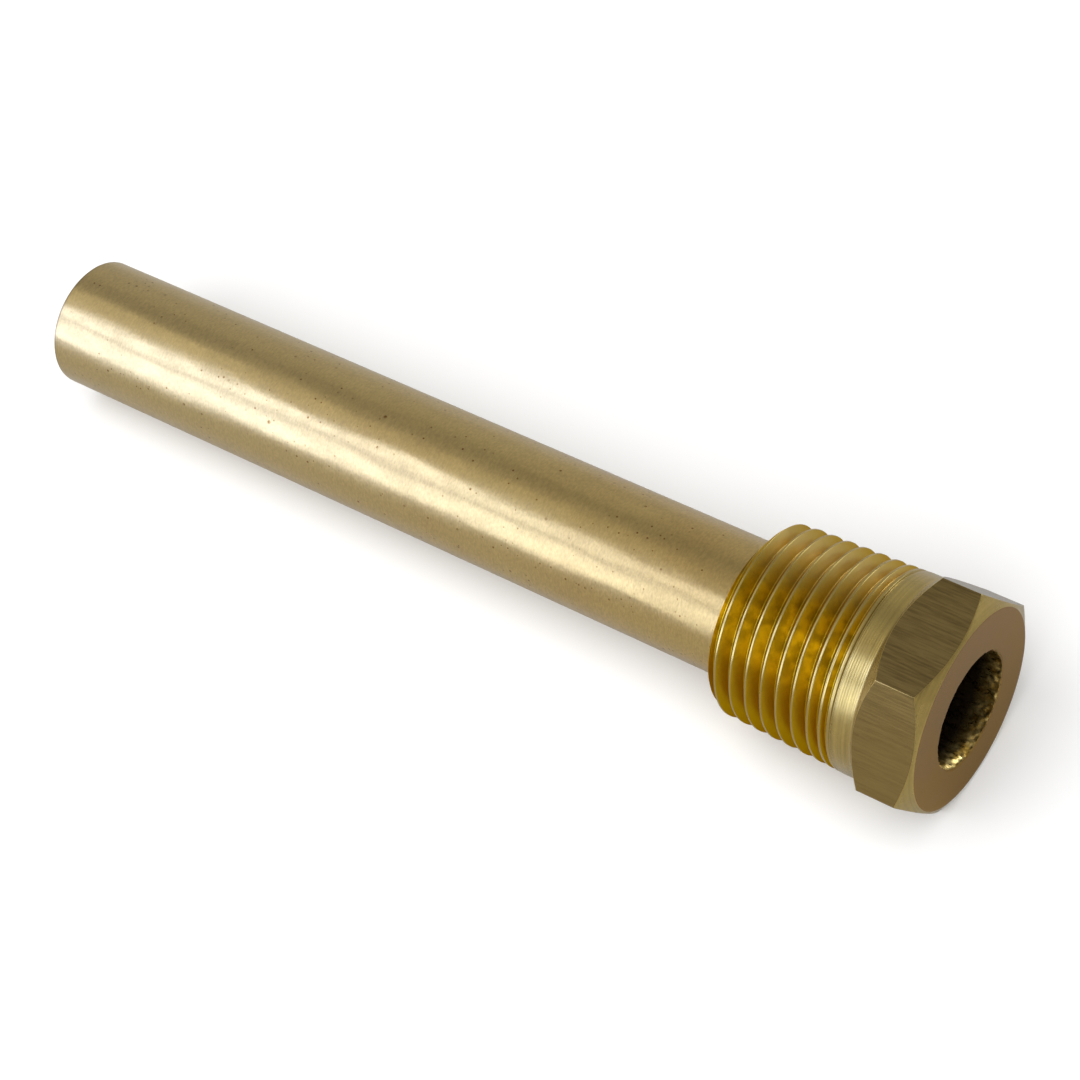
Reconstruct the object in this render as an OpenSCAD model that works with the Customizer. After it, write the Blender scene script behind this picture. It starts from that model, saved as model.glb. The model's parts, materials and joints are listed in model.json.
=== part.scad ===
// Brass thermowell, turned from hexagon bar in one piece: a closed stem, a
// tapered pipe thread and a wrench hexagon, drilled from the open face.
// It is built along its own axis and then laid on a flat and the tip's edge.

/* [Stem] */
// Length over all, from the open face to the closed tip
well_l = 115; // [70:0.5:300]
// Diameter of the stem
stem_d = 14.7; // [14:0.1:18]
// Width of the chamfer round the closed tip
tip_chamfer = 0.25; // [0.1:0.05:1]

/* [Bore] */
// Diameter of the bore that takes the sensor
bore_d = 12.5; // [6:0.1:13]
// Metal left between the drill point and the tip
tip_wall = 4; // [1.5:0.5:20]
// Included angle of the drill point
drill_point_angle = 118; // [90:1:140]
// Width of the broken edge at the mouth of the bore
mouth_chamfer = 0.2; // [0.1:0.05:1]

/* [Hexagon] */
// Wrench size, across the flats
hex_af = 22.2; // [22:0.1:32]
// Length from the open face to where the rear cone meets the neck
head_l = 7.1; // [6:0.1:20]
// Diameter of the flat part of the open face
face_d = 21.5; // [17:0.1:22]
// Angle of the front chamfer, from the face
front_chamfer_angle = 30; // [15:1:35]
// Angle of the cone behind the hexagon, from the face
rear_cone_angle = 40; // [20:1:50]

/* [Neck] */
// Diameter of the plain neck between the hexagon and the thread
neck_d = 21.7; // [21.7:0.05:22]
// Length of the plain neck
neck_l = 1.9; // [0.5:0.1:10]
// Radius of the fillet between the rear cone and the neck
neck_fillet_r = 0.5; // [0.1:0.1:0.5]

/* [Thread] */
// Length of the threaded collar
thread_l = 15.4; // [8:0.1:17]
// Thread diameter over the crests, at the end towards the tip
thread_d = 20.7; // [19:0.05:20.7]
// Distance from one turn to the next
thread_pitch = 1.814; // [1.4:0.001:2.2]
// Growth in diameter for each millimetre towards the hexagon
thread_taper = 0.0625; // [0:0.0025:0.0625]
// Angle of a flank, from the square plane
flank_angle = 30; // [25:1:35]
// Width of the flat on a crest
crest_flat = 0.22; // [0.1:0.01:0.4]
// Width of the flat at the root of the groove
root_flat = 0.13; // [0.05:0.01:0.3]
// Width of the chamfer that starts the thread
start_chamfer = 1; // [0.5:0.1:1.5]
// Length over which the groove runs out, beside the neck
runout_l = 4; // [1:0.1:6]
// Direction in which the groove leaves the end of the collar
thread_start_angle = 32; // [0:1:355]

/* [Hidden] */

brass = [0.72, 0.58, 0.33];
round_steps = 96; // steps round a turned surface
thread_steps = 60; // steps in one turn of the groove
groove_corners = 4; // crest edge, root edge, root edge, crest edge
overlap = 0.3; // how far pieces reach into each other

neck_end = head_l + neck_l;
collar_end = neck_end + thread_l;
thread_depth = (thread_pitch - crest_flat - root_flat) / (2 * tan(flank_angle));

// Beside the neck the turns crowd together and grow shallow, as the tool slows down to stop
runout_end = neck_end + overlap;
last_pitch = crest_flat + 2 * root_flat; // where the turns are closest
crowding = 1 - last_pitch / thread_pitch; // share of the pitch that is lost there
slowing_l = 2 * runout_l * crowding; // how far an even pitch would take the slowing turns
slow_start = runout_end + runout_l * crowding * (2 - crowding);

hex_corner_r = hex_af / 2 / cos(30);
front_slope = tan(front_chamfer_angle);
rear_slope = tan(rear_cone_angle);
flat_back = head_l - (hex_af - neck_d) / 2 * rear_slope; // furthest point of a flat
drill_point_l = bore_d / 2 / tan(drill_point_angle / 2);
bore_l = well_l - tip_wall - drill_point_l;

// The lean is the slope from the back of the lower flat to the edge of the tip
lean = atan((hex_af - stem_d) / 2 / (well_l - tip_chamfer - flat_back));
face_z = flat_back * sin(lean) + hex_af / 2 * cos(lean);
face_reach = face_d / 2 * sin(lean);
tip_reach = well_l * cos(lean) + (stem_d / 2 - tip_chamfer) * sin(lean);

// From the well's own axis, face at zero and tip upwards, to how it lies
module lay_down() {
    translate([(tip_reach - face_reach) / 2, 0, face_z])
        rotate([0, -90 - lean, 0])
            children();
}

// Hexagon with its front chamfer and rear cone
module head() {
    reach = hex_corner_r + overlap;
    intersection() {
        rotate([0, 0, 30]) // a flat, not a corner, faces down
            cylinder(h = head_l, r = hex_corner_r, $fn = 6);
        rotate_extrude($fn = round_steps)
            polygon([
                [0, 0],
                [face_d / 2, 0],
                [reach, (reach - face_d / 2) * front_slope],
                [reach, head_l - (reach - neck_d / 2) * rear_slope],
                [neck_d / 2, head_l],
                [0, head_l]
            ]);
    }
}

// Ring that fills the corner between the rear cone and the neck
module neck_fillet() {
    tangent_l = neck_fillet_r * tan((90 - rear_cone_angle) / 2);
    rotate_extrude($fn = round_steps)
        difference() {
            polygon([
                [neck_d / 2 - overlap, head_l],
                [neck_d / 2 + tangent_l * cos(rear_cone_angle), head_l - tangent_l * sin(rear_cone_angle)],
                [neck_d / 2, head_l + tangent_l]
            ]);
            translate([neck_d / 2 + neck_fillet_r, head_l + tangent_l])
                circle(r = neck_fillet_r, $fn = round_steps);
        }
}

// Where an even pitch would put the groove after some turns, counted from the collar's end
function even_z(turn) = collar_end + thread_pitch * (turn - thread_start_angle / 360);

// How far the groove has slowed down on its way to the neck, up to slowing_l
function slowing(turn) = min(slowing_l, max(0, slow_start - even_z(turn)));

// Place of the groove's middle
function groove_z(turn) =
    let (
        slowed = slowing(turn),
        stopped = max(0, slow_start - even_z(turn)) - slowed
    )
    even_z(turn) + slowed * slowed / (4 * runout_l) + stopped * crowding;

// Radius over the crests at a height on the axis
function crest_r(z) = thread_d / 2 + (collar_end - z) * thread_taper / 2;

// Depth of the groove, which fades to nothing beside the neck
function groove_depth(turn) = thread_depth * (1 - slowing(turn) / slowing_l);

// The groove's corners at one turn, each as [radius, height]
function groove_section(turn) =
    let (
        z = groove_z(turn),
        depth = groove_depth(turn),
        root = root_flat / 2,
        mouth = root + max(depth * tan(flank_angle), root)
    ) [
        [crest_r(z - mouth), z - mouth],
        [crest_r(z - root) - depth, z - root],
        [crest_r(z + root) - depth, z + root],
        [crest_r(z + mouth), z + mouth]
    ];

// Rod with the tapered thread, longer than the collar at both ends
module threaded_rod() {
    even_turns = (collar_end - slow_start + slowing_l) / thread_pitch;
    first_turn = -ceil(even_turns + 2 * overlap / last_pitch) - 3; // starts inside the neck
    last_step = (1 - first_turn) * thread_steps;
    crest_last = last_step - thread_steps;
    points = [
        for (step = [0:last_step])
            let (turn = first_turn + step / thread_steps)
                for (corner = groove_section(turn))
                    [corner[0] * cos(turn * 360), corner[0] * sin(turn * 360), corner[1]]
    ];
    low_centre = len(points);
    high_centre = low_centre + 1;
    // Number of a point: its step along the groove and its corner
    function at(step, corner) = step * groove_corners + corner;
    groove_faces = [
        for (step = [0:last_step - 1], corner = [0:groove_corners - 2])
            each [
                [at(step, corner), at(step, corner + 1), at(step + 1, corner)],
                [at(step + 1, corner), at(step, corner + 1), at(step + 1, corner + 1)]
            ]
    ];
    crest_faces = [
        for (step = [0:crest_last - 1])
            each [
                [at(step, 3), at(step + thread_steps, 0), at(step + 1, 3)],
                [at(step + 1, 3), at(step + thread_steps, 0), at(step + 1 + thread_steps, 0)]
            ]
    ];
    low_faces = [
        for (step = [0:thread_steps - 1])
            [low_centre, at(step, 0), at(step + 1, 0)],
        [low_centre, at(thread_steps, 0), at(0, 3)],
        for (corner = [3:-1:1])
            [low_centre, at(0, corner), at(0, corner - 1)]
    ];
    high_faces = [
        for (step = [crest_last:last_step - 1])
            [high_centre, at(step + 1, 3), at(step, 3)],
        [high_centre, at(crest_last, 3), at(last_step, 0)],
        for (corner = [0:groove_corners - 2])
            [high_centre, at(last_step, corner), at(last_step, corner + 1)]
    ];
    polyhedron(
        points = concat(points, [[0, 0, groove_z(first_turn)], [0, 0, groove_z(1)]]),
        faces = concat(groove_faces, crest_faces, low_faces, high_faces)
    );
}

// Threaded collar, squared off at both ends and chamfered where it starts
module collar() {
    start_r = thread_d / 2 - start_chamfer;
    reach = neck_d / 2 + overlap;
    intersection() {
        threaded_rod();
        rotate_extrude($fn = round_steps)
            polygon([
                [0, neck_end - overlap],
                [reach, neck_end - overlap],
                [reach, collar_end - (reach - start_r)],
                [start_r, collar_end],
                [0, collar_end]
            ]);
    }
}

// Plain neck, and the stem with its closed tip
module neck_and_stem() {
    rotate_extrude($fn = round_steps)
        polygon([
            [0, head_l - overlap],
            [neck_d / 2, head_l - overlap],
            [neck_d / 2, neck_end],
            [stem_d / 2, neck_end],
            [stem_d / 2, well_l - tip_chamfer],
            [stem_d / 2 - tip_chamfer, well_l],
            [0, well_l]
        ]);
}

// Drilled hole with its point, and the broken edge at its mouth
module bore() {
    mouth_r = bore_d / 2 + mouth_chamfer;
    translate([0, 0, -overlap])
        cylinder(h = bore_l + overlap, d = bore_d, $fn = round_steps);
    translate([0, 0, bore_l])
        cylinder(h = drill_point_l, d1 = bore_d, d2 = 0, $fn = round_steps);
    translate([0, 0, -overlap])
        cylinder(h = mouth_chamfer + overlap, r1 = mouth_r + overlap, r2 = bore_d / 2, $fn = round_steps);
}

module thermowell() {
    color(brass)
        lay_down()
            difference() {
                union() {
                    head();
                    neck_fillet();
                    neck_and_stem();
                    collar();
                }
                bore();
            }
}

thermowell();
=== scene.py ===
import json
import math

import bpy
from mathutils import Matrix, Vector, noise


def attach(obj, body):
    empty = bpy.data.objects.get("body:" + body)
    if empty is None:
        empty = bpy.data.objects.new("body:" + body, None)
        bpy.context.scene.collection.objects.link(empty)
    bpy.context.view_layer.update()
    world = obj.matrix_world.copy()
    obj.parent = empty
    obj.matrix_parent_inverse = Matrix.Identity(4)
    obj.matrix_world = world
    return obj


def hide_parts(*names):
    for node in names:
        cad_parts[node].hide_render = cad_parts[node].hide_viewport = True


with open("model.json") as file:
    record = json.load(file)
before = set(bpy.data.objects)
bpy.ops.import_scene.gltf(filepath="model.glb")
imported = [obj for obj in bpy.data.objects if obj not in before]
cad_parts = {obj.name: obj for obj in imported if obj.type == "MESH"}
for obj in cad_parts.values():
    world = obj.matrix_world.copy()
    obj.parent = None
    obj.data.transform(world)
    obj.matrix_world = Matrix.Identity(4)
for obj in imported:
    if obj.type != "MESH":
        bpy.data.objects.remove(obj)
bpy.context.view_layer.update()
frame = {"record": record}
print("frame loaded")


def mount(name):
    return next(m for m in frame["record"]["mounts"] if m["name"] == name)


# The well's own axis: z runs from the open face to the tip, x points up out of the top flat
openFace = mount("open_face")
sensorBore = mount("sensor_bore")
outAxis = Vector(openFace["axis"])
borePlace = Vector(sensorBore["pos_m"])
faceCentre = borePlace + outAxis * (Vector(openFace["pos_m"]) - borePlace).dot(outAxis)
sideAxis = Vector((0, 1, 0))
upAxis = sideAxis.cross(-outAxis)
millimetre = 0.001
laid = Matrix((upAxis, sideAxis, -outAxis)).transposed().to_4x4()
laid.translation = faceCentre

cameraSetup = {
    "lens": 96.65,  # mm
    "sensorWidth": 36,  # mm
    "azimuth": 49.654,  # degrees, from looking along +Y towards looking along -X
    "elevation": 55.2565,
    "roll": -18.962,
    "distance": 0.30464,  # metres from the point looked at
    "lookAt": (0.00704, -0.00215, 0.0093),
    "clipStart": 0.01,  # metres
}


def makeCamera(setup):
    data = bpy.data.cameras.new("camera")
    data.lens = setup["lens"]
    data.sensor_width = setup["sensorWidth"]
    data.clip_start = setup["clipStart"]
    camera = bpy.data.objects.new("camera", data)
    bpy.context.scene.collection.objects.link(camera)
    azimuth, elevation = math.radians(setup["azimuth"]), math.radians(setup["elevation"])
    level = math.cos(elevation)
    back = Vector((math.sin(azimuth) * level, -math.cos(azimuth) * level, math.sin(elevation)))
    roll = Matrix.Rotation(math.radians(setup["roll"]), 3, "Z")
    camera.matrix_world = ((-back).to_track_quat("-Z", "Y").to_matrix() @ roll).to_4x4()
    camera.location = Vector(setup["lookAt"]) + back * setup["distance"]
    bpy.context.scene.camera = camera


def newFinish(name):
    material = bpy.data.materials.new(name)
    material.use_nodes = True
    tree = material.node_tree
    return material, tree, tree.nodes["Principled BSDF"]


def add(tree, kind, inputs=None, output=0, **settings):
    # One node with its settings, and its inputs as numbers or as links; gives one of its outputs
    node = tree.nodes.new("ShaderNode" + kind)
    for key, value in settings.items():
        setattr(node, key, value)
    for place, value in (inputs or {}).items():
        if isinstance(value, bpy.types.NodeSocket):
            tree.links.new(value, node.inputs[place])
        else:
            node.inputs[place].default_value = value
    return node.outputs[output]


def calculate(tree, operation, *values):
    return add(tree, "Math", dict(enumerate(values)), operation=operation)


def stretch(tree, value, low, high, newLow, newHigh):
    # Maps low..high to newLow..newHigh and holds the ends
    return add(tree, "MapRange", {0: value, 1: low, 2: high, 3: newLow, 4: newHigh})


def blendColours(tree, factor, first, second, mode="MIX"):
    inputs = {0: factor, 6: first, 7: second}
    return add(tree, "Mix", inputs, output=2, data_type="RGBA", blend_type=mode)


studio = {
    "floorColour": 0.93,  # grey as seen
    "floorShade": 0.47,  # grey as the metal mirrors it
    "floorRoughness": 0.9,
    "floorGloss": 0.1,
    "floorSize": 3.0,  # metres
    "surroundings": 0.38,  # brightness of the room round the lights
    "panelDistance": 0.9,  # metres from the well
    # Each panel: from and to, round the well from straight up towards the near side, in degrees;
    # from and to, along the well, in metres; brightness; tint. Only the metal takes light from them
    "panels": [
        ("backPanel", -88, -45, -1.3, 0.5, 0.12, "plain"),
        ("upperPanel", -24, 20, -1.4, 0.2, 0.115, "plain"),
        ("edgePanel", -12, 21, -1.6, -0.5, 0.58, "plain"),
        ("mainPanel", 21, 45, -0.42, -0.20, 1.1, "cool"),
        ("mainPanelFar", 22, 45, -1.6, -0.42, 2.55, "colder"),
        ("lowPanel", 51, 83, -0.42, -0.20, 1.8, "fresh"),
        ("lowPanelFar", 51, 87, -1.6, -0.42, 2.55, "colder"),
        ("mouthPanel", -86, -62, 0.15, 0.65, 4.5, "cool"),
    ],
    "tints": {
        "plain": (1, 1, 1),
        "cool": (1, 1.08, 1.2),
        "fresh": (1, 1.16, 1.5),
        "colder": (1, 1.23, 2.3),
    },
    # The same for one more panel, which lights only the floor
    "floorLight": ("floorLight", -14, 66, -0.9, 0.9, 2.0, "plain"),
}


def addPanel(setup, name, fromAngle, toAngle, fromX, toX, brightness, tint):
    distance = setup["panelDistance"]
    middle = math.radians((fromAngle + toAngle) / 2)
    half = math.radians(toAngle - fromAngle) / 2
    direction = Vector((0, -math.sin(middle), math.cos(middle)))
    light = bpy.data.lights.new(name, "AREA")
    light.shape = "RECTANGLE"
    light.size = toX - fromX
    light.size_y = 2 * distance * math.tan(half)
    light.energy = brightness * math.pi * light.size * light.size_y
    light.color = setup["tints"][tint]
    panel = bpy.data.objects.new(name, light)
    across = Vector((1, 0, 0))
    panel.matrix_world = Matrix((across, direction.cross(across), direction)).transposed().to_4x4()
    panel.location = direction * distance + Vector(((fromX + toX) / 2, 0, 0))
    bpy.context.scene.collection.objects.link(panel)
    return panel


def makeStudio(setup):
    world = bpy.data.worlds.new("studio")
    bpy.context.scene.world = world
    world.use_nodes = True
    background = world.node_tree.nodes["Background"]
    background.inputs["Color"].default_value = (1, 1, 1, 1)
    background.inputs["Strength"].default_value = setup["surroundings"]
    for panel in setup["panels"]:
        addPanel(setup, *panel).visible_diffuse = False
    addPanel(setup, *setup["floorLight"]).visible_glossy = False
    bpy.context.scene.view_settings.view_transform = "Standard"


def makeFloor(setup):
    half = setup["floorSize"] / 2
    mesh = bpy.data.meshes.new("floor")
    corners = [(-half, -half, 0), (half, -half, 0), (half, half, 0), (-half, half, 0)]
    mesh.from_pydata(corners, [], [(0, 1, 2, 3)])
    floor = bpy.data.objects.new("floor", mesh)
    bpy.context.scene.collection.objects.link(floor)
    paint, tree, shader = newFinish("palePaper")
    mirrored = add(tree, "LightPath", output="Is Glossy Ray")
    grey = stretch(tree, mirrored, 0, 1, setup["floorColour"], setup["floorShade"])
    tree.links.new(grey, shader.inputs["Base Color"])
    shader.inputs["Roughness"].default_value = setup["floorRoughness"]
    shader.inputs["Specular IOR Level"].default_value = setup["floorGloss"]
    mesh.materials.append(paint)


makeCamera(cameraSetup)
makeStudio(studio)
makeFloor(studio)
print("camera and studio made")


spans = {
    "middle": (0.3, 0.7),  # most of a noise lies between these
    "spot": (0.6, 1.1),  # shares of a spot's size, between which it fades out
    "side": (0.45, 0.9),  # how much a place faces a side, between which its painted light or shade fades in
}


def wellPlaces(tree):
    # Places on the well in millimetres: the point, the angle round the axis, the radius and the height
    world = add(tree, "TexCoord", output="Object")
    point = add(
        tree,
        "Mapping",
        {"Vector": world, "Location": faceCentre, "Rotation": laid.to_euler(), "Scale": [millimetre] * 3},
        vector_type="TEXTURE",
    )
    split = tree.nodes.new("ShaderNodeSeparateXYZ")
    tree.links.new(point, split.inputs[0])
    x, y, z = split.outputs
    angle = calculate(tree, "ARCTAN2", y, x)
    square = calculate(tree, "ADD", calculate(tree, "MULTIPLY", x, x), calculate(tree, "MULTIPLY", y, y))
    return point, angle, calculate(tree, "SQRT", square), z


def noiseAt(tree, point, scales, detail, rough):
    # Noise with its scales for each mm along x, y and z: a small one draws it out that way
    scaled = add(tree, "Mapping", {"Vector": point, "Scale": scales}, vector_type="POINT")
    return add(tree, "TexNoise", {"Vector": scaled, "Scale": 1.0, "Detail": detail, "Roughness": rough})


def spots(tree, point, cell, smallest, largest, share):
    # Round spots, one in some of the cells: 1 inside, 0 outside
    cells = tree.nodes.new("ShaderNodeTexVoronoi")
    cells.inputs["Scale"].default_value = 1 / cell
    tree.links.new(point, cells.inputs["Vector"])
    pick = tree.nodes.new("ShaderNodeSeparateColor")
    tree.links.new(cells.outputs["Color"], pick.inputs[0])
    size = stretch(tree, pick.outputs[0], 0, 1, smallest / cell, largest / cell)
    edge = calculate(tree, "DIVIDE", cells.outputs["Distance"], size)
    inside = stretch(tree, edge, *spans["spot"], 1, 0)
    kept = calculate(tree, "LESS_THAN", pick.outputs[1], share)
    return calculate(tree, "MULTIPLY", inside, kept)


def towards(tree, angle, side):
    # 1 at a side, -1 opposite it; the side is in degrees round the axis, from straight up
    return calculate(tree, "COSINE", calculate(tree, "SUBTRACT", angle, math.radians(side)))


def paintSideLightOrShade(tree, angle, colour, setup, side):
    # Paints light or shade onto one side: works that side's painted colour into the rest
    share = stretch(tree, towards(tree, angle, setup[side + "Side"]), *spans["side"], 0, 1)
    return blendColours(tree, share, colour, setup[side + "Colour"])


def finishMetal(tree, shader, setup, colour, roughness, height, depth):
    bump = add(tree, "Bump", {"Distance": depth * millimetre, "Height": height})
    tree.links.new(bump, shader.inputs["Normal"])
    tree.links.new(colour, shader.inputs["Base Color"])
    tree.links.new(roughness, shader.inputs["Roughness"])
    shader.inputs["Metallic"].default_value = 1
    shader.inputs["Coat Weight"].default_value = setup["film"]
    shader.inputs["Coat Roughness"].default_value = setup["filmRoughness"]
    if setup["anisotropic"]:
        # Highlights spread across the tool marks, which run round the well
        shader.inputs["Anisotropic"].default_value = setup["anisotropic"]
        shader.inputs["Anisotropic Rotation"].default_value = 0.25  # a quarter turn
        aroundWell = add(tree, "Tangent", direction_type="RADIAL", axis="X")
        tree.links.new(aroundWell, shader.inputs["Tangent"])


turnedBrass = {
    "colour": (0.53, 0.375, 0.125, 1),
    "warmColour": (0.49, 0.325, 0.105, 1),
    "tipColour": (0.54, 0.395, 0.155, 1),  # painted light: the stem pales towards its tip, standing in for the whiter highlights there
    "pitColour": (0.21, 0.09, 0.008, 1),
    "stainColour": (0.10, 0.05, 0.02, 1),
    "roughness": (0.30, 0.38),
    "anisotropic": 0.58,
    "film": 0.4,
    "filmRoughness": 0.34,
    "feed": 0.26,  # mm from one tool mark to the next
    "markDepth": 0.0014,  # mm
    "evenness": 0.75,  # depth of the shallowest marks, as a share of the deepest
    "waveDepth": 0.16,  # mm, slow unevenness along the bar
    "grainDepth": 0.012,  # mm, fine grain of the worn surface
    "grainShade": 0.10,  # how much lighter and darker the grain is than the rest
    "tipStain": 0.75,
    "rings": 0.5,  # how deep the uneven rings are, against the feed marks
    "ringShade": 0.035,
    # Each kind of pit: cell size, smallest and largest pit, in mm, and the share of cells with one
    "pits": [(0.85, 0.07, 0.18, 0.7), (3.0, 0.2, 0.32, 0.45)],
}
headBrass = {  # chamfer, rear cone and neck, and the crests of the thread
    "colour": (0.47, 0.345, 0.105, 1),
    "warmColour": (0.43, 0.30, 0.085, 1),
    "tipColour": (0.47, 0.345, 0.105, 1),
    "pitColour": (0.13, 0.06, 0.02, 1),
    "stainColour": (0.13, 0.06, 0.02, 1),
    "roughness": (0.26, 0.34),
    "anisotropic": 0.4,
    "film": 0.18,
    "filmRoughness": 0.12,
    "feed": 0.27,
    "markDepth": 0.004,
    "evenness": 0.3,
    "waveDepth": 0.0,
    "grainDepth": 0.002,
    "grainShade": 0.04,
    "tipStain": 0.0,
    "rings": 4,
    "ringShade": 0.15,
    "pits": [(1.6, 0.04, 0.12, 0.25)],
}
turnedNoises = {  # scales for each mm, detail, roughness
    "rings": ((0.03, 0.03, 2.2), 4, 0.6),
    "fine": ((0.06, 0.06, 4.5), 3, 0.7),
    "slow": ((0.28, 0.28, 0.06), 1, 0.5),
    "grain": ((2.4, 2.4, 5.0), 1, 0.5),
    "cloud": ((0.12, 0.12, 0.08), 3, 0.6),
    "patches": ((0.16, 0.16, 0.07), 2, 0.5),
    "blotches": ((0.5, 0.5, 0.25), 3, 0.6),
}
turnedSpans = {  # from and to in a noise; where there are two more, what that span is turned into
    "rings": (0.35, 0.65),
    "warm": (0.35, 0.7, 0, 1),
    "patches": (0.40, 0.56, 0.12, 1),  # from few pits to many
    "pits": (0.35, 0.55, 0.35, 1),  # how strong a pit is
    "stain": (0.3, 0.5, 0.5, 1),
    "roughness": (0.35, 0.65),
}
stemPlaces = {  # mm, from and to
    "paler": (30, 90),  # from the open face, where the colour changes to the tip's paler painted-light colour
    "stained": (114.5, 114.85),
    "stainedR": (6.7, 7.1),
}


def makeTurnedFinish(name, setup):
    material, tree, shader = newFinish(name)
    point, angle, radius, along = wellPlaces(tree)
    noises = {kind: noiseAt(tree, point, *values) for kind, values in turnedNoises.items()}
    # Tool marks: a fine spiral, deeper in some rings than in others
    turns = calculate(tree, "DIVIDE", angle, 2 * math.pi)
    path = calculate(tree, "ADD", calculate(tree, "DIVIDE", along, setup["feed"]), turns)
    wave = calculate(tree, "SINE", calculate(tree, "MULTIPLY", path, 2 * math.pi))
    depth = stretch(tree, noises["rings"], *turnedSpans["rings"], setup["evenness"], 1.0)
    marks = calculate(tree, "MULTIPLY", wave, depth)
    height = calculate(tree, "ADD", marks, calculate(tree, "MULTIPLY", noises["fine"], setup["rings"]))
    waves = setup["waveDepth"] / setup["markDepth"]
    height = calculate(tree, "MULTIPLY_ADD", noises["slow"], waves, height)
    grains = setup["grainDepth"] / setup["markDepth"]
    height = calculate(tree, "MULTIPLY_ADD", noises["grain"], grains, height)
    # Colour and pits
    warm = stretch(tree, noises["cloud"], *turnedSpans["warm"])
    colour = blendColours(tree, warm, setup["colour"], setup["warmColour"])
    # Painted light: paler towards the tip, for the whiter highlights there
    paler = stretch(tree, along, *stemPlaces["paler"], 0, 1)
    colour = blendColours(tree, paler, colour, setup["tipColour"])
    ringShade, grainShade = setup["ringShade"], setup["grainShade"]
    shade = calculate(
        tree,
        "MULTIPLY",
        stretch(tree, noises["fine"], *spans["middle"], 1 - ringShade, 1 + ringShade),
        stretch(tree, noises["grain"], *spans["middle"], 1 - grainShade, 1 + grainShade),
    )
    tone = add(tree, "CombineColor", {0: shade, 1: shade, 2: shade})
    colour = blendColours(tree, 1.0, colour, tone, "MULTIPLY")
    patches = stretch(tree, noises["patches"], *turnedSpans["patches"])
    pitted = stretch(tree, noises["grain"], *turnedSpans["pits"])
    for cell, smallest, largest, share in setup["pits"]:
        pits = spots(tree, point, cell, smallest, largest, calculate(tree, "MULTIPLY", patches, share))
        pits = calculate(tree, "MULTIPLY", pits, pitted)
        colour = blendColours(tree, pits, colour, setup["pitColour"])
    # The tip's edge is stained
    stain = calculate(
        tree,
        "MULTIPLY",
        stretch(tree, along, *stemPlaces["stained"], 0, 1),
        stretch(tree, radius, *stemPlaces["stainedR"], 0, 1),
    )
    stain = calculate(tree, "MULTIPLY", stain, stretch(tree, noises["slow"], *turnedSpans["stain"]))
    stain = calculate(tree, "MULTIPLY", stain, setup["tipStain"])
    colour = blendColours(tree, stain, colour, setup["stainColour"])
    roughness = stretch(tree, noises["blotches"], *turnedSpans["roughness"], *setup["roughness"])
    finishMetal(tree, shader, setup, colour, roughness, height, setup["markDepth"])
    return material


drawnBrass = {
    "colour": (0.325, 0.222, 0.070, 1),
    "darkColour": (0.172, 0.113, 0.032, 1),
    # Painted shade: the flats are coloured darker towards one side
    "shadeColour": (0.25, 0.158, 0.038, 1),
    "shadeSide": -90,  # degrees round the axis, from straight up, towards which the flats are painted in shade
    "shadeShare": 0.6,  # how much of that painted shade is mixed in
    "roughness": (0.18, 0.26),
    "anisotropic": 0,
    "film": 0.3,
    "filmRoughness": 0.2,
    "streakDepth": 0.0015,  # mm
    "streaks": ((4.5, 4.5, 0.22), 4, 0.7),  # noises: scales for each mm, detail, roughness
    "bands": ((0.7, 0.7, 0.12), 3, 0.6),
    "bandShare": 0.4,  # how much the broad bands count, against the streaks
    "dark": (0.58, 0.86),  # from and to in their sum, where the dark colour fades in
}


def makeDrawnFinish(setup):
    material, tree, shader = newFinish("drawnBrass")
    point, angle, *others = wellPlaces(tree)
    # Streaks run along the bar, as they come from the drawing die
    streaks = noiseAt(tree, point, *setup["streaks"])
    bands = noiseAt(tree, point, *setup["bands"])
    lines = calculate(tree, "MULTIPLY_ADD", bands, setup["bandShare"], streaks)
    lines = stretch(tree, lines, *setup["dark"], 0, 1)
    colour = blendColours(tree, lines, setup["colour"], setup["darkColour"])
    # Painted shade, darker on the flats towards shadeSide
    shaded = paintSideLightOrShade(tree, angle, colour, setup, "shade")
    colour = blendColours(tree, setup["shadeShare"], colour, shaded)
    roughness = stretch(tree, streaks, *spans["middle"], *setup["roughness"])
    finishMetal(tree, shader, setup, colour, roughness, streaks, setup["streakDepth"])
    return material


threadBrass = {
    "colour": (0.68, 0.455, 0.025, 1),
    "deepColour": (0.44, 0.29, 0.012, 1),
    # Painted shade: the grooves are coloured darker towards one side
    "shadeColour": (0.50, 0.305, 0.012, 1),
    "shadeSide": -100,  # degrees round the axis, from straight up, towards which the grooves are painted in shade
    # Painted light: the grooves are coloured paler towards another side
    "paleColour": (0.58, 0.43, 0.15, 1),
    "paleSide": 54,
    "edgeTint": (0.9, 0.62, 0.2, 1),
    "roughness": (0.30, 0.42),
    "anisotropic": 0.3,
    "film": 0.0,
    "filmRoughness": 0.2,
    "markDepth": 0.0012,  # mm
    "rings": ((0.05, 0.05, 9), 3, 0.6),  # noises: scales for each mm, detail, roughness
    "cloud": ((0.6, 0.6, 0.6), 3, 0.6),
    "deep": (0.4, 0.62),  # from and to in the cloud, where the deep colour fades in
}


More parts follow.
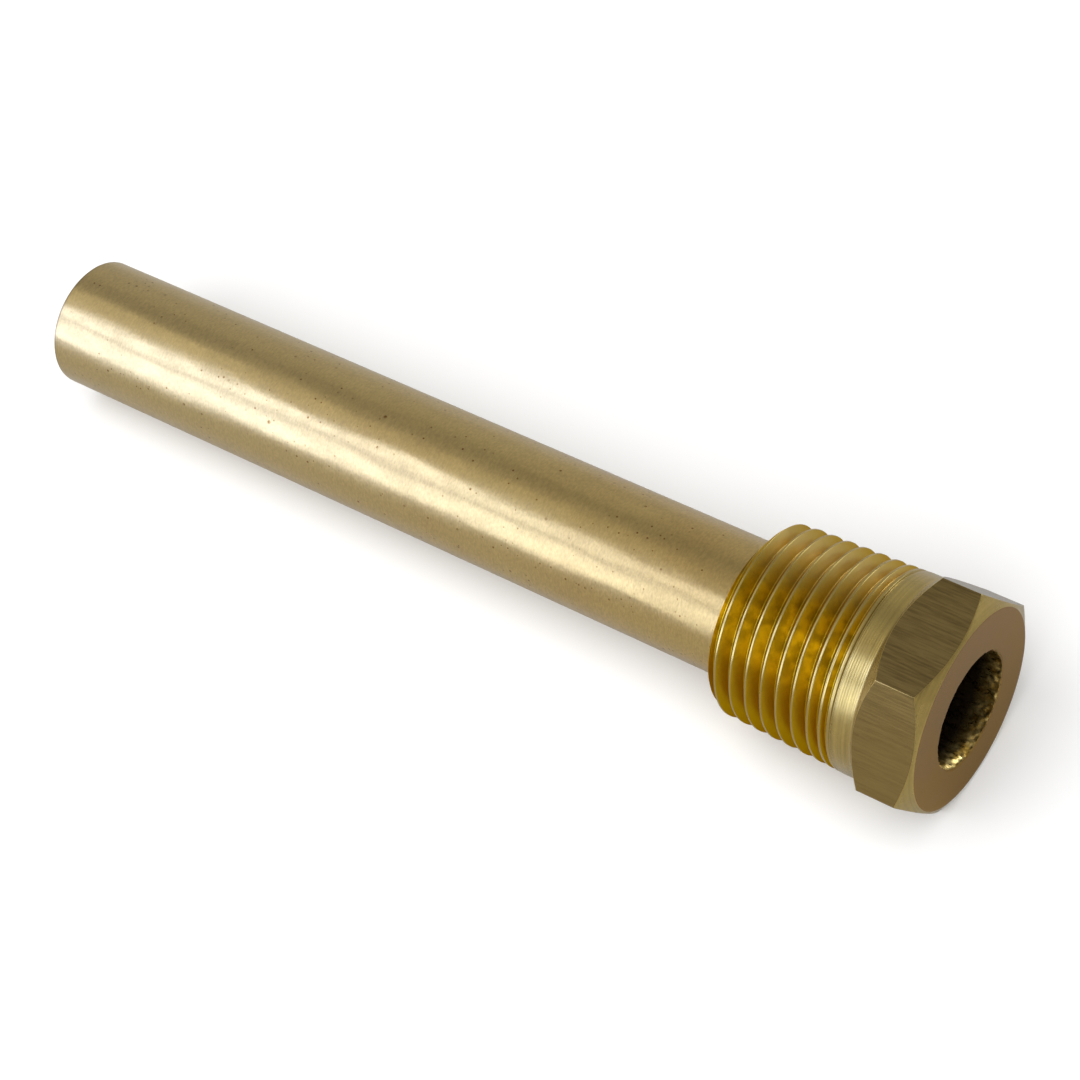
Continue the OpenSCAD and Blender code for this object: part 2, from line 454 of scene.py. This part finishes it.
def makeThreadFinish(setup):
    material, tree, shader = newFinish("threadBrass")
    point, angle, *others = wellPlaces(tree)
    rings = noiseAt(tree, point, *setup["rings"])
    cloud = noiseAt(tree, point, *setup["cloud"])
    deep = stretch(tree, cloud, *setup["deep"], 0, 1)
    colour = blendColours(tree, deep, setup["colour"], setup["deepColour"])
    # Painted shade on one side of the grooves
    colour = paintSideLightOrShade(tree, angle, colour, setup, "shade")
    # Painted light on the other side of the grooves
    colour = paintSideLightOrShade(tree, angle, colour, setup, "pale")
    shader.inputs["Specular Tint"].default_value = setup["edgeTint"]
    roughness = stretch(tree, cloud, *spans["middle"], *setup["roughness"])
    finishMetal(tree, shader, setup, colour, roughness, rings, setup["markDepth"])
    return material


faceBrass = {
    "colour": (0.34, 0.20, 0.05, 1),
    "dullColour": (0.31, 0.193, 0.09, 1),
    "edgeTint": (0.92, 0.80, 0.66, 1),
    "dullSide": 20,  # degrees round the axis, where it is dullest
    "roughness": (0.18, 0.24),
    "anisotropic": 0.3,
    "film": 0.03,
    "filmRoughness": 0.25,
    "markDepth": 0.001,  # mm
    "rings": 7,  # tool marks for each mm, roughly
    "cloud": ((0.25, 0.25, 0.25), 3, 0.6),  # noise: scales for each mm, detail, roughness
    "sideShare": 0.35,  # how much the dull side counts, against the cloud
    "dull": (0.2, 0.8),  # from and to in their sum, where the dull colour fades in
}


def makeFaceFinish(setup):
    material, tree, shader = newFinish("facedBrass")
    point, angle, radius, *others = wellPlaces(tree)
    place = calculate(tree, "MULTIPLY", radius, setup["rings"])
    rings = add(tree, "TexNoise", {"W": place, "Scale": 1.0, "Detail": 3.0}, noise_dimensions="1D")
    cloud = noiseAt(tree, point, *setup["cloud"])
    facing = towards(tree, angle, setup["dullSide"])
    dull = calculate(tree, "MULTIPLY_ADD", facing, setup["sideShare"], cloud)
    dull = stretch(tree, dull, *setup["dull"], 0, 1)
    shader.inputs["Specular Tint"].default_value = setup["edgeTint"]
    colour = blendColours(tree, dull, setup["colour"], setup["dullColour"])
    roughness = stretch(tree, cloud, *spans["middle"], *setup["roughness"])
    finishMetal(tree, shader, setup, colour, roughness, rings, setup["markDepth"])
    return material


boreBrass = {
    "colour": (1.0, 0.78, 0.31, 1),
    "burntColour": (0.50, 0.31, 0.06, 1),
    # Painted shade: the wall is coloured darker deeper in the bore
    "insideColour": (0.10, 0.072, 0.04, 1),
    "insideFrom": (1.8, 3.6),  # mm from the open face, where that painted shade fades in
    "insideRagged": 2,  # mm, how ragged that fade is
    "roughness": (0.22, 0.55),
    "anisotropic": 0,
    "film": 0.0,
    "filmRoughness": 0.2,
    "streakDepth": 0.015,  # mm
    "scratches": ((3.0, 3.0, 1.2), 4, 0.7),  # noises: scales for each mm, detail, roughness
    "burns": ((0.8, 0.8, 0.8), 3, 0.6),
    "burnt": (0.42, 0.6),  # from and to in the burns, where the burnt colour fades in
}


def makeBoreFinish(setup):
    material, tree, shader = newFinish("boredBrass")
    point, *others, along = wellPlaces(tree)
    scratches = noiseAt(tree, point, *setup["scratches"])
    burns = stretch(tree, noiseAt(tree, point, *setup["burns"]), *setup["burnt"], 0, 1)
    colour = blendColours(tree, burns, setup["colour"], setup["burntColour"])
    # Painted shade, darker deeper in the bore
    depth = calculate(tree, "MULTIPLY_ADD", scratches, setup["insideRagged"], along)
    inside = stretch(tree, depth, *setup["insideFrom"], 0, 1)
    colour = blendColours(tree, inside, colour, setup["insideColour"])
    roughness = stretch(tree, scratches, *spans["middle"], *setup["roughness"])
    finishMetal(tree, shader, setup, colour, roughness, scratches, setup["streakDepth"])
    return material


finishes = {
    "turned": makeTurnedFinish("turnedBrass", turnedBrass),
    "head": makeTurnedFinish("headBrass", headBrass),
    "drawn": makeDrawnFinish(drawnBrass),
    "thread": makeThreadFinish(threadBrass),
    "face": makeFaceFinish(faceBrass),
    "bore": makeBoreFinish(boreBrass),
}
print("finishes made")

wellSizes = {  # mm, as the solids have them
    "length": 115.0,
    "stemR": mount("stem")["dims"]["r_mm"],
    "tipChamfer": 0.25,
    "boreR": sensorBore["dims"]["r_mm"],
    "boreL": 107.245,
    "drillPointL": 3.755,
    "mouthChamfer": 0.2,
    "flatR": 11.1,  # half the wrench size
    "headL": 7.1,
    "faceR": 10.75,
    "frontAngle": 30,
    "rearAngle": 40,
    "neckR": 10.85,
    "neckEnd": 9.0,
    "filletR": 0.5,
}
wellRows = {
    # mm from the open face: far apart where the bore is smooth, close where its wall is torn
    "smooth": [60, 30, 16, 10, 7.5, 6, 5, 4, 3, 2.5],
    "torn": [2, 1.8, 1.6, 1.4, 1.25, 1.1, 0.95, 0.8, 0.65, 0.5, 0.38, 0.28],
    "face": [0.03, 0.1, 0.3, 0.5, 0.7, 0.85],  # shares of the way from the mouth to the rim
    "stem": [24, 25, 40, 60, 80, 100, 110],  # mm from the open face
    "tip": [4.5, 2.0, 0.5],  # mm from the axis
}
columnSteps = {  # degrees from a corner of the hexagon
    "corner": [0, 0.085, 0.17, 0.25, 0.34, 0.6, 1.2, 2.2],
    "evenFrom": 3.4,
    "even": 1.33,
    "evenCount": 20,
}
edgeRounding = {  # mm
    "corner": 0.15,  # between two flats
    "face": 0.28,
    "front": 0.14,
    "rear": 0.10,
    "tip": 0.08,
    "faceLead": 0.4,  # how far from the edge the line that is rounded starts
    "tipLead": 1,
}
roundingSteps = 4
roundingShare = 0.45  # the most that a rounding takes up of the line on either side
sharpAngle = 38  # degrees between two faces, from which their edge stays sharp


def roundCorners(points, radii, steps=roundingSteps):
    # Rounds each inner corner of a line of (radius, height) points
    rounded = [points[0]]
    for before, corner, after, radius in zip(points, points[1:], points[2:], radii):
        corner = Vector(corner)
        back, on = Vector(before) - corner, Vector(after) - corner
        backL, onL = back.length, on.length
        reach = min(radius / math.tan(back.angle(on) / 2), roundingShare * backL, roundingShare * onL)
        start, end = corner + back * (reach / backL), corner + on * (reach / onL)
        for step in range(steps + 1):
            t = step / steps
            rounded.append(tuple(start * (1 - t) ** 2 + corner * 2 * t * (1 - t) + end * t * t))
    rounded.append(points[-1])
    return rounded


def hexagonR(angle, sizes, rounding):
    # Distance from the axis to the hexagon with its corners rounded
    halfSide = math.radians(30)
    radius = rounding["corner"]
    offCorner = math.radians(abs((math.degrees(angle) % 60) - 30))
    centre = (sizes["flatR"] - radius) / math.cos(halfSide)
    tangent = math.atan2(radius * math.sin(halfSide), centre + radius * math.cos(halfSide))
    if offCorner > tangent:
        return sizes["flatR"] / math.cos(halfSide - offCorner)
    return centre * math.cos(offCorner) + math.sqrt(radius ** 2 - (centre * math.sin(offCorner)) ** 2)


def columnAngles(steps):
    # Close together at the hexagon's corners, even elsewhere
    side = steps["corner"] + [steps["evenFrom"] + steps["even"] * i for i in range(steps["evenCount"])]
    angles = []
    for flat in range(6):
        corner = 60 * flat + 30
        angles += [corner - a for a in reversed(side[1:])] + [corner + a for a in side] + [corner + 30]
    return [math.radians(a) for a in sorted(angles)]


boreWall = {
    "torn": 0.13,  # mm, how far the torn metal stands in near the mouth
    "tornL": 2.2,  # mm, how deep it goes
    "tornGain": 1.6,  # how strongly the tears show
    "tornShare": 0.15,  # the more, the less of the wall is left smooth
    "tornAlong": 1.6,  # the more, the closer together the tears are along the bore
    "ripples": 44,  # the more, the closer together they are round the bore
    "burrSide": -148,  # degrees from straight up, where a tool has dragged the edge open
    "burrSpread": 48,  # degrees to either side
    "burr": 0.32,  # mm, how far it stands open there
    "burrL": 1.1,  # mm, how deep it goes
    "burrFade": 1.5,  # the more, the faster it closes
    "wear": 0.65,  # how uneven the broken edge at the mouth is, as a share of its width
    "wearLength": 3,  # how much longer that wear is than a tear
    "lip": 0.7,  # how much of the torn metal reaches that edge
}


def onRipples(angle, setup):
    # Where a noise is read for one angle round the bore
    return Vector((math.cos(angle), math.sin(angle), 0)) * setup["ripples"] / 2


def tornBy(angle, height, setup):
    # How far the wall stands in from its true radius
    fade = max(0.0, 1 - height / setup["tornL"])
    tear = noise.noise(onRipples(angle, setup) + Vector((0, 0, height * setup["tornAlong"])))
    torn = setup["torn"] * fade * max(0.0, tear * setup["tornGain"] + setup["tornShare"])
    offSide = abs((math.degrees(angle) - setup["burrSide"] + 180) % 360 - 180) / setup["burrSpread"]
    burrDepth = max(0.0, 1 - height / setup["burrL"]) ** setup["burrFade"]
    return torn - setup["burr"] * max(0.0, 1 - offSide ** 2) * burrDepth


def wallOfWell(angle, sizes, rounding):
    # One column of the well, from the drill point round the mouth to the tip. Each row is its radius,
    # its height and the finish of the strip that follows
    boreR = sizes["boreR"]
    rows = [(boreR, sizes["boreL"], "bore")]
    for z in wellRows["smooth"] + wellRows["torn"]:
        rows.append((boreR - tornBy(angle, z, boreWall), z, "bore"))
    # The broken edge at the mouth is uneven
    unevenness = abs(noise.noise(onRipples(angle, boreWall) / boreWall["wearLength"]))
    wear = 1 - boreWall["wear"] * (1 - unevenness)
    edge = sizes["mouthChamfer"] * wear
    rows.append((boreR - tornBy(angle, edge, boreWall) * boreWall["lip"], edge, "face"))
    mouthR = boreR + edge + max(0.0, -tornBy(angle, 0, boreWall))
    rows.append((mouthR, 0, "face"))
    rows += [(mouthR + (sizes["faceR"] - mouthR) * share, 0, "face") for share in wellRows["face"]]
    # The head: face, chamfer, flat, cone, fillet, neck
    hexR = hexagonR(angle, sizes, rounding)
    frontZ = (hexR - sizes["faceR"]) * math.tan(math.radians(sizes["frontAngle"]))
    rearZ = sizes["headL"] - (hexR - sizes["neckR"]) * math.tan(math.radians(sizes["rearAngle"]))
    line = [
        (sizes["faceR"] - rounding["faceLead"], 0),
        (sizes["faceR"], 0),
        (hexR, frontZ),
        (hexR, rearZ),
        (sizes["neckR"], sizes["headL"]),
        (sizes["neckR"], sizes["neckEnd"]),
    ]
    radii = [rounding["face"], rounding["front"], rounding["rear"], sizes["filletR"]]
    head = roundCorners(line, radii)
    # Strips of the head: face with its rounding, chamfer and edge, flat, then edge, cone, fillet and neck
    step = roundingSteps + 1
    tags = ["face"] * step + ["head"] * step + ["drawn"] + ["head"] * (4 * step)
    rows += [(r, z, tag) for (r, z), tag in zip(head, tags)]
    # The stem, from inside the collar to the tip
    stemR, length = sizes["stemR"], sizes["length"]
    rows += [(stemR, z, "turned") for z in [sizes["neckEnd"]] + wellRows["stem"]]
    tip = [
        (stemR, length - rounding["tipLead"]),
        (stemR, length - sizes["tipChamfer"]),
        (stemR - sizes["tipChamfer"], length),
        (stemR - rounding["tipLead"], length),
    ]
    rows += [(r, z, "turned") for r, z in roundCorners(tip, [rounding["tip"], rounding["tip"]])]
    rows += [(r, length, "turned") for r in wellRows["tip"]]
    return rows


def roundAxis(radius, angle, height):
    return radius * math.cos(angle), radius * math.sin(angle), height


def linkedObject(name, points, faces, tags):
    mesh = bpy.data.meshes.new(name)
    mesh.from_pydata(points, [], faces)
    for finish in finishes.values():
        mesh.materials.append(finish)
    slots = list(finishes)
    mesh.polygons.foreach_set("material_index", [slots.index(tag) for tag in tags])
    mesh.validate()
    thing = bpy.data.objects.new(name, mesh)
    bpy.context.scene.collection.objects.link(thing)
    return thing


def spunSolid(name, columns, firstPole=None, lastPole=None):
    # Joins columns of rows round the axis; two poles close the ends, and without them it is a ring
    angles = [angle for angle, rows in columns]
    rowCount = len(columns[0][1])
    points = [roundAxis(r, angle, z) for angle, rows in columns for r, z, tag in rows]
    tagOf = [tag for r, z, tag in columns[0][1]]
    faces, tags = [], []
    count = len(angles)
    strips = rowCount if firstPole is None else rowCount - 1
    for column in range(count):
        here, there = column * rowCount, (column + 1) % count * rowCount
        for row in range(strips):
            above = (row + 1) % rowCount
            faces.append((here + row, there + row, there + above, here + above))
            tags.append(tagOf[row])
    if firstPole is not None:
        first, last = len(points), len(points) + 1
        points += [(0, 0, firstPole), (0, 0, lastPole)]
        for column in range(count):
            here, there = column * rowCount, (column + 1) % count * rowCount
            faces += [(first, there, here), (last, here + rowCount - 1, there + rowCount - 1)]
            tags += [tagOf[0], tagOf[-1]]
    return linkedObject(name, points, faces, tags)


threadSizes = {  # mm, as the solids have them
    "pitch": 1.814,
    "endR": mount("process_thread")["dims"]["r_mm"],  # over the crests, at the end towards the tip
    "length": mount("process_thread")["dims"]["length_mm"],
    "taper": 0.0625,  # growth in diameter for each mm towards the hexagon
    "flankAngle": 30,
    "crestFlat": 0.22,
    "rootFlat": 0.13,
    "startChamfer": 1.0,
    "runout": 4.0,
    "startAngle": 32,
    "overlap": 0.3,  # how far it reaches into the neck
    "crestRounding": 0.05,
    "rootRounding": 0.05,
    "roundingSteps": 3,
    "crestReach": 0.4,  # how far the outline of the groove reaches over the crests, in crest flats
    "crestStrips": 3,  # strips at each end of the outline that are finished as the neck is
    "shallow": 0.2,  # share of its full depth, below which the whole groove is finished so too
    "stepsPerTurn": 180,
}


def lastPitch(sizes):
    # From one turn to the next beside the neck, where they are closest
    return sizes["crestFlat"] + 2 * sizes["rootFlat"]


def threadSlowing(sizes, neckEnd):
    # Beside the neck the turns crowd together and grow shallow. Gives the share of the pitch that
    # is lost, where that starts, and how far an even pitch would take the slowing turns
    crowding = 1 - lastPitch(sizes) / sizes["pitch"]
    start = neckEnd + sizes["overlap"] + sizes["runout"] * crowding * (2 - crowding)
    return crowding, start, 2 * sizes["runout"] * crowding


def threadSection(turn, sizes, collarEnd, neckEnd):
    # The groove's outline, from the crest on one side to the crest on the other, and how deep it is
    crowding, slowStart, slowingL = threadSlowing(sizes, neckEnd)
    evenZ = collarEnd + sizes["pitch"] * (turn - sizes["startAngle"] / 360)
    past = max(0, slowStart - evenZ)
    slowed = min(past, slowingL)
    z = evenZ + slowed * slowed / (4 * sizes["runout"]) + (past - slowed) * crowding
    fullness = 1 - slowed / slowingL
    slope = math.tan(math.radians(sizes["flankAngle"]))
    fullDepth = (sizes["pitch"] - sizes["crestFlat"] - sizes["rootFlat"]) / (2 * slope)
    depth = fullDepth * fullness
    root = sizes["rootFlat"] / 2
    mouth = root + max(depth * slope, root)

    def crest(height):
        return sizes["endR"] + (collarEnd - height) * sizes["taper"] / 2

    half = mouth + sizes["crestFlat"] * sizes["crestReach"]
    line = [
        (crest(z - half), z - half),
        (crest(z - mouth), z - mouth),
        (crest(z - root) - depth, z - root),
        (crest(z + root) - depth, z + root),
        (crest(z + mouth), z + mouth),
        (crest(z + half), z + half),
    ]
    radii = [sizes["crestRounding"], sizes["rootRounding"], sizes["rootRounding"], sizes["crestRounding"]]
    return roundCorners(line, radii, sizes["roundingSteps"]), fullness


def threadedRod(sizes, collarEnd, neckEnd):
    steps = sizes["stepsPerTurn"]
    crowding, slowStart, slowingL = threadSlowing(sizes, neckEnd)
    evenTurns = (collarEnd - slowStart + slowingL) / sizes["pitch"]
    firstTurn = -math.ceil(evenTurns + 2 * sizes["overlap"] / lastPitch(sizes)) - 3  # inside the neck
    total = (1 - firstTurn) * steps
    points, tags = [], []
    for step in range(total + 1):
        turn = firstTurn + step / steps
        section, fullness = threadSection(turn, sizes, collarEnd, neckEnd)
        angle = 2 * math.pi * turn
        points += [roundAxis(r, angle, z) for r, z in section]
        count = len(section)
        if step < total:
            crests = ["head"] * sizes["crestStrips"]
            groove = "thread" if fullness > sizes["shallow"] else "head"
            tags += crests + [groove] * (count - 1 - 2 * len(crests)) + crests

    def at(step, corner):
        return step * count + corner

    faces = [
        (at(step, k), at(step + 1, k), at(step + 1, k + 1), at(step, k + 1))
        for step in range(total)
        for k in range(count - 1)
    ]
    tags += ["head"] * (total - steps)
    faces += [
        (at(step, count - 1), at(step + 1, count - 1), at(step + 1 + steps, 0), at(step + steps, 0))
        for step in range(total - steps)
    ]
    low, high = len(points), len(points) + 1
    points += [(0, 0, points[0][2]), (0, 0, points[-1][2])]
    faces += [(low, at(step + 1, 0), at(step, 0)) for step in range(steps)]
    faces += [(low, at(0, k), at(0, k + 1)) for k in range(count - 1)]
    faces.append((low, at(0, count - 1), at(steps, 0)))
    lastTurn = range(total - steps, total)
    faces += [(high, at(step, count - 1), at(step + 1, count - 1)) for step in lastTurn]
    faces += [(high, at(total, k + 1), at(total, k)) for k in range(count - 1)]
    faces.append((high, at(total, 0), at(total - steps, count - 1)))
    tags += ["thread"] * (len(faces) - len(tags))
    return linkedObject("threadedRod", points, faces, tags)


def combine(kept, other, operation):
    # Works one solid into another and drops the second
    step = kept.modifiers.new("combine", "BOOLEAN")
    step.operation = operation
    step.object = other
    step.solver = "MANIFOLD"
    graph = bpy.context.evaluated_depsgraph_get()
    mesh = bpy.data.meshes.new_from_object(kept.evaluated_get(graph))
    kept.modifiers.clear()
    kept.data = mesh
    bpy.data.objects.remove(other)


def makeWell(sizes):
    angles = columnAngles(columnSteps)
    body = spunSolid(
        "thermowellBrass",
        [(angle, wallOfWell(angle, sizes, edgeRounding)) for angle in angles],
        sizes["boreL"] + sizes["drillPointL"],
        sizes["length"],
    )
    collarEnd = sizes["neckEnd"] + threadSizes["length"]
    rod = threadedRod(threadSizes, collarEnd, sizes["neckEnd"])
    inner = (sizes["boreR"] + sizes["stemR"]) / 2
    low = sizes["neckEnd"] - threadSizes["overlap"]
    reach = sizes["neckR"] + threadSizes["overlap"]
    startR = threadSizes["endR"] - threadSizes["startChamfer"]
    chamferFrom = collarEnd - (reach - startR)
    ring = [(inner, low), (reach, low), (reach, chamferFrom), (startR, collarEnd), (inner, collarEnd)]
    envelope = spunSolid("envelope", [(angle, [(r, z, "thread") for r, z in ring]) for angle in angles])
    combine(rod, envelope, "INTERSECT")
    combine(body, rod, "UNION")
    body.data.transform(laid @ Matrix.Scale(millimetre, 4))
    body.data.polygons.foreach_set("use_smooth", [True] * len(body.data.polygons))
    body.data.set_sharp_from_angle(angle=math.radians(sharpAngle))
    weighting = body.modifiers.new("weighting", "WEIGHTED_NORMAL")
    weighting.keep_sharp = True
    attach(body, "root")
    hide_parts("thermowell")
    return body


well = makeWell(wellSizes)
print("well made:", len(well.data.polygons), "faces")
